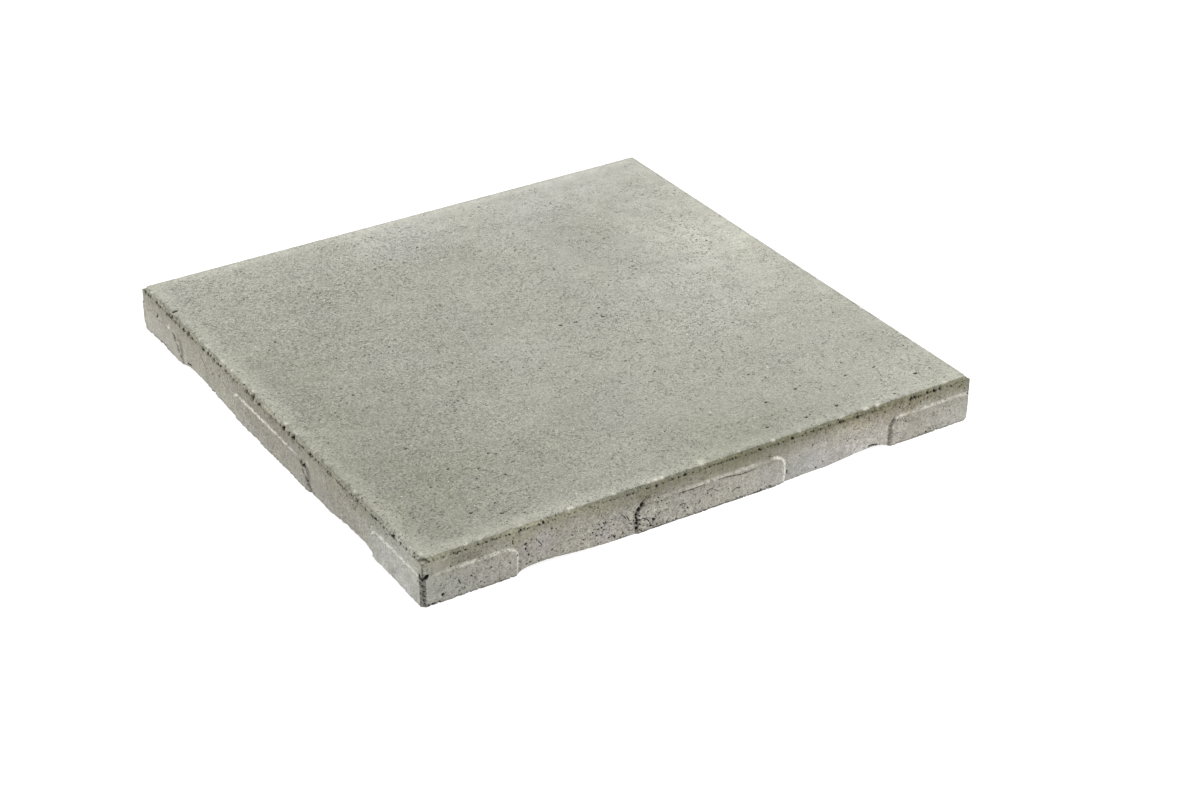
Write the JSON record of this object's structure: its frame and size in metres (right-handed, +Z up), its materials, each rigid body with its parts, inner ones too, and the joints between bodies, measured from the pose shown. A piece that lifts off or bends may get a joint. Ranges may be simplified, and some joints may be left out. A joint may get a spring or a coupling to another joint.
{
  "type": "concrete paving slab",
  "caption": "Square cast concrete paving slab with a chamfered top edge, low spacer pads on its sides and shallow arches under the bottom edge between them.",
  "frame": {"origin": "centre of the underside, on the ground", "axes": "+Z up out of the walking face; +X and +Y along the slab's two pairs of sides, which are alike"},
  "size_m": [0.5, 0.5, 0.04],
  "materials": {
    "concrete": "matte"
  },
  "bodies": {
    "root": {"slab": "concrete"}
  },
  "joints": []
}
